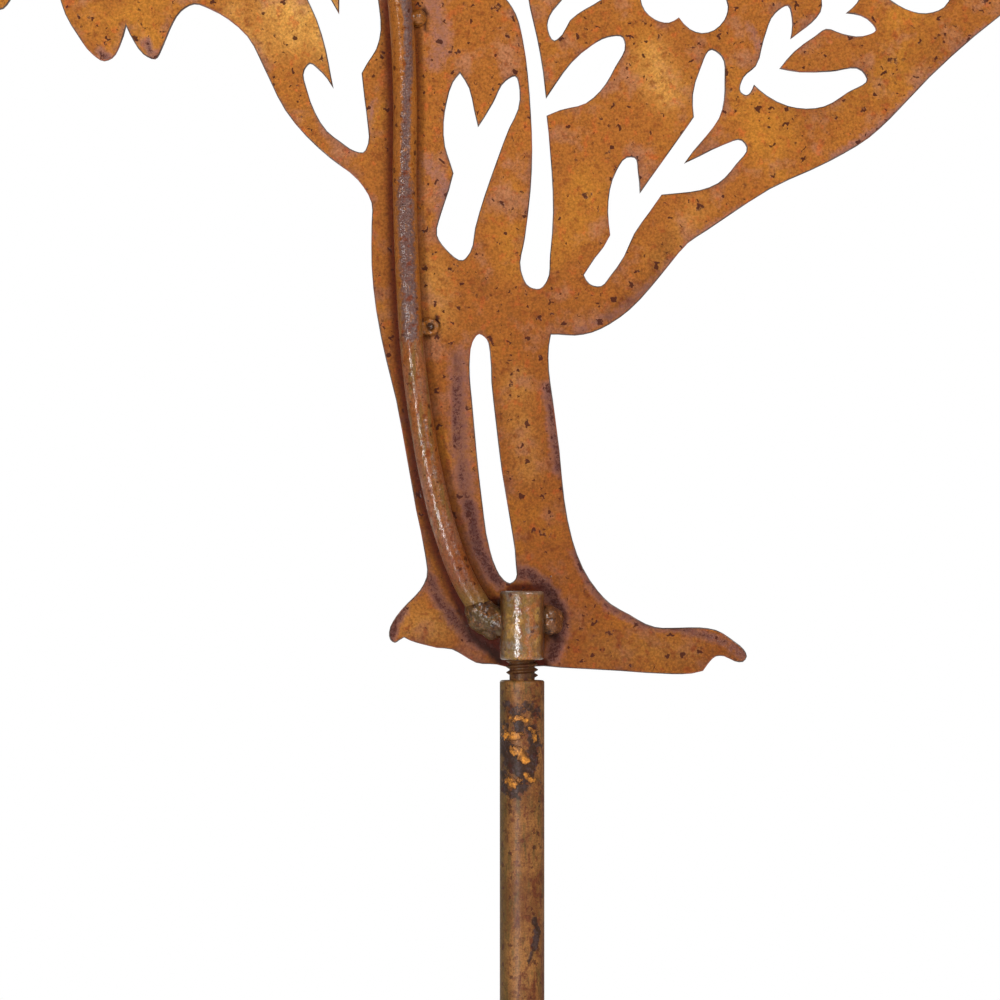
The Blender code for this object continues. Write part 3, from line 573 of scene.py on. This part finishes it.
# Each bead's drops, as pixels in the photograph, how far behind the sheet's back they lie, and their radius
WELD_DROPS = {
    "tack_weld_top": (((384, -262), 0.0005, 0.0021), ((379, -262), 0.0018, 0.0014)),
    "tack_weld_upper": (((418, 18), 0.0002, 0.0022), ((412, 18), 0.0018, 0.0014)),
    "tack_weld_lower": (
        ((430.5, 327), 0.0000, 0.0009), ((420, 326), 0.0019, 0.0017), ((423, 330), 0.0008, 0.0016),
    ),
    "rod_end_weld": (
        ((478, 609), 0.0034, 0.0033), ((484, 613), 0.0036, 0.0035), ((490, 617), 0.0039, 0.0035),
        ((496, 620), 0.0043, 0.0035), ((502, 622), 0.0047, 0.0035), ((480, 619), 0.0032, 0.0031),
        ((484, 624), 0.0014, 0.0028), ((492, 629), 0.0018, 0.0027), ((473, 613), 0.0008, 0.0022),
    ),
    "socket_side_weld": (
        ((548, 616), 0.0034, 0.0029), ((549, 623), 0.0034, 0.0030), ((554, 618), 0.0018, 0.0025),
        ((554, 625), 0.0016, 0.0023),
    ),
}
WELD_ROOT = 0.0004
WELD_EASING = 22
WELD_RIPPLE_SIZE = 0.0030
WELD_RIPPLE_HEIGHT = 0.00022

# The lower tack's end is a small crater: a ring of metal round a hollow whose middle is painted dark
CRATER_RING_RADIUS = 0.00145
CRATER_RING_THICKNESS = 0.00078

# Weld metal, oxidised and lacquered: dark brown with olive and orange on it, and glints on its ripples. Red
# brown at the socket's right side, and orange on the tacks, as on the sheet round them.
weld_metal, tree, shader, place = new_material("oxidised_weld_bead", 0.8, 0.08, 0.1)
apart = add_node(tree, "ShaderNodeSeparateXYZ", {0: place})
weld_patches, weld_hollows, weld_fine, grain = mottles(
    tree, place, (0.0026, 3, 0.55), (0.0020, 2, 0.55), (0.0009, 3, 0.6), (0.0005, 3, 0.7)
)
crater = add_node(tree, "ShaderNodeAttribute", attribute_name="crater_darkening").outputs["Fac"]
colour = laid_over(tree, linear(WELD_BROWN), WELD_OLIVE, weld_patches, 0.42, 0.58)
colour = laid_over(tree, colour, WELD_RED, apart.outputs["X"], *RED_RIGHT_OF, 0.7)
colour = laid_over(tree, colour, SHEET_RUST, apart.outputs["Z"], *TACKS_ABOVE, 0.7)
colour = laid_over(tree, colour, SHEET_RUST, weld_fine, 0.5, 0.7, 0.5)
colour = laid_over(tree, colour, WELD_DARK, weld_hollows, 0.44, 0.32, 0.8)
# The crater's middle is painted darker
colour = laid_over(tree, colour, WELD_DARK, crater, 0.0, 1.0, 0.85)
tree.links.new(grained(tree, colour, grain, 0.62, 1.34), shader.inputs["Base Color"])
shader.inputs["Roughness"].default_value = 0.34
tree.links.new(where(tree, weld_fine, 0.42, 0.56, 0.9, None, 0.2), shader.inputs["Coat Weight"])
raised(tree, shader, weld_fine, grain, 0.1, WELD_RIPPLE_HEIGHT)

for node_name, drops in WELD_DROPS.items():
    bpy.ops.object.select_all(action="DESELECT")
    made = []
    for pixel, behind, radius in drops:
        (x, z), = metres_from([pixel])
        y = sheet_low.y - behind
        bpy.ops.mesh.primitive_ico_sphere_add(subdivisions=4, radius=radius, location=(x, y, z))
        made.append(bpy.context.active_object)
    (x, z), = metres_from([drops[0][0]])
    if node_name == "tack_weld_lower":
        bpy.ops.mesh.primitive_torus_add(
            major_radius=CRATER_RING_RADIUS, minor_radius=CRATER_RING_THICKNESS,
            major_segments=48, minor_segments=16,
            location=(x, sheet_low.y - CRATER_RING_THICKNESS, z), rotation=(math.radians(90), 0, 0),
        )
        made.append(bpy.context.active_object)
    for drop in made:
        drop.select_set(True)
    bpy.context.view_layer.objects.active = made[0]
    bpy.ops.object.join()
    weld = bpy.context.active_object
    weld.name = node_name + "_bead"
    bpy.ops.object.transform_apply(location=True, rotation=True, scale=True)
    fused = weld.modifiers.new("Fused drops", "REMESH")
    fused.mode = "VOXEL"
    fused.voxel_size = WELD_VOXEL
    bpy.ops.object.modifier_apply(modifier=fused.name)
    eased = weld.modifiers.new("Eased joints", "SMOOTH")
    eased.factor = 0.6
    eased.iterations = WELD_EASING
    bpy.ops.object.modifier_apply(modifier=eased.name)
    for vert in weld.data.vertices:
        ripple = noise.fractal(vert.co / WELD_RIPPLE_SIZE, 0.8, 2.2, 4) * WELD_RIPPLE_HEIGHT
        vert.co += vert.normal * ripple
        vert.co.y = min(vert.co.y, sheet_low.y + WELD_ROOT)
    for polygon in weld.data.polygons:
        polygon.use_smooth = True
    if node_name == "tack_weld_lower":
        from_middle = np.array([math.hypot(vert.co.x - x, vert.co.z - z) for vert in weld.data.vertices])
        store(weld.data, "crater_darkening", np.clip(2 - 2 * from_middle / CRATER_RING_RADIUS, 0.0, 1.0))
    weld.data.materials.clear()
    weld.data.materials.append(weld_metal)
    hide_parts(node_name)
    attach(weld, "root")

# Ground stake
# A plain round bar with a point forged on its lower end and a coarse thread cut on its upper end, above a
# turned shoulder. It screws into the socket. Its lacquer has flaked off in a patch below the shoulder.
STAKE_RADIUS = 0.00555
SHOULDER_HEIGHT = 0.260
SHOULDER_CHAMFER = 0.0005
POINT_START = -0.170
STAKE_BOTTOM = -0.200
TIP_RADIUS = 0.001
NECK_LENGTH = 0.0012
THREAD_CREST = 0.00395
THREAD_ROOT = 0.00315
THREAD_PITCH = 0.00142
THREAD_TURNS = 11
THREAD_SINK = 0.0002
THREAD_CREST_SHARE = 0.06
STAKE_BROWN = "#6E421E"
STAKE_TAN = "#8C5C2E"
STAKE_OLIVE = "#54421E"
STAKE_RED = "#5A2814"
STAKE_BARE = "#28160F"
STAKE_FLAKE = "#C27C28"
STAKE_FLAKE_DARK = "#7A4A1C"
STAKE_SCAR = "#3C2E30"
OLIVE_SHADE_LEFT_OF = (-0.0022, -0.0052)
BARE_THREAD_FADE = 0.0008
STAKE_RELIEF = 0.00014
WORN_LENGTH = 0.072
WORN_GRID = 0.0005

# Where the lacquer has worn off and the rust has flaked: pixels right of the axis and below the shoulder
WORN_STROKES = (
    (((-16, 24), (-6, 30), (8, 26), (16, 34)), 12, 0.62),
    (((-4, 42), (-3, 47)), 9, 1.1),
    (((8, 50), (12, 62), (10, 76)), 12, 1.0),
    (((-16, 66), (-8, 84), (0, 90)), 14, 1.15),
    (((-18, 44), (-19, 60)), 8, 0.7),
    (((10, 82), (6, 94), (-2, 108)), 11, 1.0),
    (((-17, 92), (-18, 108), (-6, 114)), 9, 0.8),
    (((16, 100), (19, 118)), 6, 0.5),
    (((13, 238), (15, 250), (12, 266)), 6, 0.95),
    (((10, 266), (7, 280)), 5, 0.7),
)
FLAKE_STROKES = (
    (((-11, 38), (-2, 36), (5, 41)), 6, 0.9),
    (((-16, 54), (-10, 56), (-4, 55)), 9, 1.15),
    (((-9, 69), (-2, 72), (3, 79)), 9, 1.2),
    (((7, 46), (13, 52), (13, 60)), 5, 0.9),
    (((-15, 98), (-10, 102), (-5, 100)), 9, 1.0),
    (((4, 93), (10, 99)), 7, 1.0),
    (((-18, 46), (-17, 52)), 5, 0.8),
)


def on_shoulder_rim(edge):
    """Whether an edge lies on the outer rim of the stake's shoulder."""
    level = all(abs(vert.co.z - SHOULDER_HEIGHT) < 0.00001 for vert in edge.verts)
    return level and all(vert.co.xy.length > STAKE_RADIUS * 0.9 for vert in edge.verts)


bpy.ops.object.select_all(action="DESELECT")
bpy.ops.mesh.primitive_cylinder_add(
    vertices=64, radius=STAKE_RADIUS, depth=SHOULDER_HEIGHT - POINT_START,
    location=(0, 0, (SHOULDER_HEIGHT + POINT_START) / 2),
)
stake = bpy.context.active_object
stake.name = "pointed_stake"
bpy.ops.object.transform_apply(location=True, rotation=True, scale=True)
bpy.ops.object.mode_set(mode="EDIT")
pick(stake, "FACE", lambda face: face.normal.z < -0.9)
bpy.ops.mesh.extrude_region_move(
    TRANSFORM_OT_translate={"value": (0, 0, STAKE_BOTTOM - POINT_START), "orient_type": "GLOBAL"}
)
bpy.ops.transform.resize(value=(TIP_RADIUS / STAKE_RADIUS, TIP_RADIUS / STAKE_RADIUS, 1))
pick(stake, "FACE", lambda face: face.normal.z > 0.9)
bpy.ops.mesh.inset(thickness=STAKE_RADIUS - THREAD_ROOT)
threaded_length = NECK_LENGTH + THREAD_TURNS * THREAD_PITCH
bpy.ops.mesh.extrude_region_move(
    TRANSFORM_OT_translate={"value": (0, 0, threaded_length), "orient_type": "GLOBAL"}
)
pick(stake, "EDGE", on_shoulder_rim)
bpy.ops.mesh.bevel(offset=SHOULDER_CHAMFER, segments=3, affect="EDGES")
for number in range(1, int(WORN_LENGTH / WORN_GRID)):
    bpy.ops.mesh.select_all(action="SELECT")
    cut_height = SHOULDER_HEIGHT - SHOULDER_CHAMFER - number * WORN_GRID
    bpy.ops.mesh.bisect(plane_co=(0, 0, cut_height), plane_no=(0, 0, 1))
bpy.ops.object.mode_set(mode="OBJECT")
bpy.ops.object.shade_smooth_by_angle(angle=math.radians(40))
shoulder_pixel = MOUTH_PIXEL[1] + (MOUTH_HEIGHT - SHOULDER_HEIGHT) / PIXEL
stake_places = np.array([(vert.co.x, vert.co.z) for vert in stake.data.vertices])
towards_view = np.array([1.0 if vert.co.y < 0.001 else 0.0 for vert in stake.data.vertices])
for name, strokes in (("worn_lacquer", WORN_STROKES), ("rust_flakes", FLAKE_STROKES)):
    placed = [
        ([(MOUTH_PIXEL[0] + right, shoulder_pixel + down) for right, down in points], width, peak)
        for points, width, peak in strokes
    ]
    store(stake.data, name, marked(stake_places, placed) * towards_view)

ridge_mesh = bpy.data.meshes.new("thread_ridge")
sunk = THREAD_ROOT - THREAD_SINK
thread_start = SHOULDER_HEIGHT + NECK_LENGTH
crest_flat = THREAD_PITCH * THREAD_CREST_SHARE
ridge_profile = (
    (sunk, 0, thread_start - THREAD_PITCH * 0.5),
    (THREAD_CREST, 0, thread_start - crest_flat),
    (THREAD_CREST, 0, thread_start + crest_flat),
    (sunk, 0, thread_start + THREAD_PITCH * 0.5),
)
ridge_mesh.from_pydata(ridge_profile, [(0, 1), (1, 2), (2, 3), (3, 0)], [])
ridge = bpy.data.objects.new("stake_thread", ridge_mesh)
bpy.context.scene.collection.objects.link(ridge)
bpy.ops.object.select_all(action="DESELECT")
bpy.context.view_layer.objects.active = ridge
ridge.select_set(True)
winding = ridge.modifiers.new("Helix", "SCREW")
winding.steps = 48
winding.render_steps = 48
winding.iterations = THREAD_TURNS - 1
winding.screw_offset = THREAD_PITCH
bpy.ops.object.modifier_apply(modifier=winding.name)
bpy.ops.object.mode_set(mode="EDIT")
bpy.ops.mesh.select_all(action="DESELECT")
bpy.ops.mesh.select_non_manifold()
bpy.ops.mesh.edge_face_add()
bpy.ops.mesh.select_all(action="SELECT")
bpy.ops.mesh.normals_make_consistent(inside=False)
bpy.ops.object.mode_set(mode="OBJECT")
bpy.ops.object.shade_smooth_by_angle(angle=math.radians(30))

# Bar steel, rusted and lacquered: dull brown with streaks along it, and its left side painted a darker olive
# as shade. Where the lacquer has flaked off there is a dark bare patch with raised orange flakes.
stake_metal, tree, shader, place = new_material("rusted_stake_bar", 0.1, 0.3, 0.2)
apart = add_node(tree, "ShaderNodeSeparateXYZ", {0: place})
stake_patches, stake_fine, flake_noise, grain = mottles(
    tree, place, (0.012, 4, 0.55), (0.0016, 4, 0.65), (0.0013, 4, 0.65), (0.0005, 3, 0.7)
)
streak_place = add_node(tree, "ShaderNodeMapping", {"Vector": place, "Scale": (1.0, 1.0, 0.22)}).outputs[0]
stake_streaks, = mottles(tree, streak_place, (0.0014, 4, 0.6))
worn = add_node(tree, "ShaderNodeAttribute", attribute_name="worn_lacquer").outputs["Fac"]
flaked = add_node(tree, "ShaderNodeAttribute", attribute_name="rust_flakes").outputs["Fac"]
colour = laid_over(tree, linear(STAKE_BROWN), STAKE_TAN, stake_patches, 0.42, 0.62)
colour = laid_over(tree, colour, STAKE_OLIVE, stake_streaks, 0.52, 0.66, 0.75)
colour = laid_over(tree, colour, STAKE_RED, stake_streaks, 0.46, 0.34, 0.8)
colour = laid_over(tree, colour, STAKE_TAN, stake_fine, 0.54, 0.70, 0.7)
colour = laid_over(tree, colour, STAKE_RED, stake_fine, 0.47, 0.36, 0.75)
# Painted shade: the stake's left side is laid over with the darker olive
colour = laid_over(tree, colour, STAKE_OLIVE, apart.outputs["X"], *OLIVE_SHADE_LEFT_OF, 0.7)
bare = where(tree, broken_up(tree, worn, stake_fine, 2.2), 0.25, 0.7, 1.0, where(tree, worn, 0.02, 0.2))
bare_colour = laid_over(tree, linear(STAKE_BARE), STAKE_SCAR, flake_noise, 0.45, 0.6)
colour = laid_over(tree, colour, bare_colour, bare, 0.0, 1.0, 0.9)
flaky = broken_up(tree, flaked, flake_noise, 3.2)
flakes = where(tree, flaky, 0.45, 0.75, 1.0, where(tree, flaked, 0.02, 0.2))
flake_colour = laid_over(tree, linear(STAKE_FLAKE_DARK), STAKE_FLAKE, flaky, 0.6, 1.3)
colour = laid_over(tree, colour, grained(tree, flake_colour, stake_fine, 0.5, 1.4), flakes, 0.0, 1.0, 0.9)
dark_from = SHOULDER_HEIGHT + BARE_THREAD_FADE
colour = laid_over(tree, colour, STAKE_BARE, apart.outputs["Z"], SHOULDER_HEIGHT, dark_from, 0.6)
pits = specks(tree, place, *BAR_PITS)
colour = laid_over(tree, colour, SHEET_SPECK, pits, 0.0, 1.0, 0.7)
tree.links.new(grained(tree, colour, grain, 0.62, 1.34), shader.inputs["Base Color"])
tree.links.new(where(tree, bare, 0.0, 1.0, 0.65, None, 0.5), shader.inputs["Roughness"])
raised(tree, shader, stake_fine, flakes, 1.6, STAKE_RELIEF)
for piece in (stake, ridge):
    piece.data.materials.clear()
    piece.data.materials.append(stake_metal)
    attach(piece, "root")
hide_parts("ground_stake")

# Floor, light and camera
# A plain pale studio floor under the stake's point, and white surroundings. A broad soft light stands high
# at the right, a small one low beside it, and a tall narrow one at the left draws the long highlights. A
# fourth lights the side away from the camera.
FLOOR_RADIUS = 4.0
FLOOR_GAP = 0.0005
FLOOR_PALE = "#F1EFEB"
FLOOR_WORN = "#EAE7E2"
FLOOR_FAR_GLOW = 0.7
GLOW_DISTANCES = (0.6, 3.0)
SURROUNDINGS = 0.14
KEY_POWER = 23
STRIP_POWER = 11
LOW_RIGHT_POWER = 0.5
BACK_POWER = 24
LIGHT_AIM = (0, 0, 0.31)
CAMERA_DISTANCE = 1.5
SENSOR_WIDTH = 36
FRAME_PIXELS = 1000

bpy.ops.object.select_all(action="DESELECT")
bpy.ops.mesh.primitive_circle_add(
    vertices=96, radius=FLOOR_RADIUS, fill_type="NGON", location=(0, 0, STAKE_BOTTOM - FLOOR_GAP)
)
floor = bpy.context.active_object
floor.name = "studio_floor"
bpy.ops.object.transform_apply(location=True, rotation=True, scale=True)

# Matt pale paint: an even, nearly white ground. Far out it glows more and more, since the lamps light it
# less there, so that the floor stays pale up to its edge.
floor_paint, tree, shader, place = new_material("matt_pale_floor_paint", 0.0, 0.5, 0.5)
floor_cloud, = mottles(tree, place, (0.5, 3, 0.55))
floor_colour = laid_over(tree, linear(FLOOR_PALE), FLOOR_WORN, floor_cloud, 0.3, 0.7, 0.3)
tree.links.new(floor_colour, shader.inputs["Base Color"])
shader.inputs["Roughness"].default_value = 0.7
from_stake = add_node(tree, "ShaderNodeVectorMath", {0: place}, operation="LENGTH").outputs["Value"]
shader.inputs["Emission Color"].default_value = linear(FLOOR_PALE)
glow = where(tree, from_stake, *GLOW_DISTANCES, FLOOR_FAR_GLOW)
tree.links.new(glow, shader.inputs["Emission Strength"])
floor.data.materials.append(floor_paint)

world = bpy.data.worlds.new("white_studio")
world.use_nodes = True
bpy.context.scene.world = world
tree = world.node_tree
surroundings = tree.nodes["Background"]
surroundings.inputs["Color"].default_value = linear("#FFFFFF")
surroundings.inputs["Strength"].default_value = SURROUNDINGS
backdrop = add_node(tree, "ShaderNodeBackground", {"Color": linear("#FFFFFF"), "Strength": 1.0})
seen = add_node(tree, "ShaderNodeLightPath").outputs["Is Camera Ray"]
both = add_node(tree, "ShaderNodeMixShader", {0: seen, 1: surroundings.outputs[0], 2: backdrop.outputs[0]})
tree.links.new(both.outputs[0], tree.nodes["World Output"].inputs["Surface"])

for name, spot, width, height, power in (
    ("key_softbox", (0.9, -1.35, 1.35), 1.1, 0.9, KEY_POWER),
    ("left_strip_softbox", (-0.62, -1.27, 0.10), 0.18, 0.6, STRIP_POWER),
    ("low_right_softbox", (0.77, -1.28, 0.235), 0.12, 0.12, LOW_RIGHT_POWER),
    ("far_side_softbox", (-0.9, 1.5, 1.2), 1.4, 1.0, BACK_POWER),
):
    bpy.ops.object.light_add(type="AREA", location=spot)
    lamp = bpy.context.active_object
    lamp.name = name
    lamp.data.shape = "RECTANGLE"
    lamp.data.size = width
    lamp.data.size_y = height
    lamp.data.energy = power
    lamp.rotation_euler = (Vector(LIGHT_AIM) - Vector(spot)).to_track_quat("-Z", "Y").to_euler()
    lamp.visible_camera = False

frame_middle, = metres_from([(FRAME_PIXELS / 2, FRAME_PIXELS / 2)])
view_point = (frame_middle[0], sheet_low.y - CAMERA_DISTANCE, frame_middle[1])
bpy.ops.object.camera_add(location=view_point, rotation=(math.radians(90), 0, 0))
camera = bpy.context.active_object
camera.name = "photograph_view"
camera.data.sensor_width = SENSOR_WIDTH
camera.data.lens = SENSOR_WIDTH * CAMERA_DISTANCE / (FRAME_PIXELS * PIXEL)
camera.data.clip_start = 0.01
camera.data.clip_end = 100
bpy.context.scene.camera = camera
bpy.context.scene.view_settings.view_transform = "Standard"

bpy.context.view_layer.update()
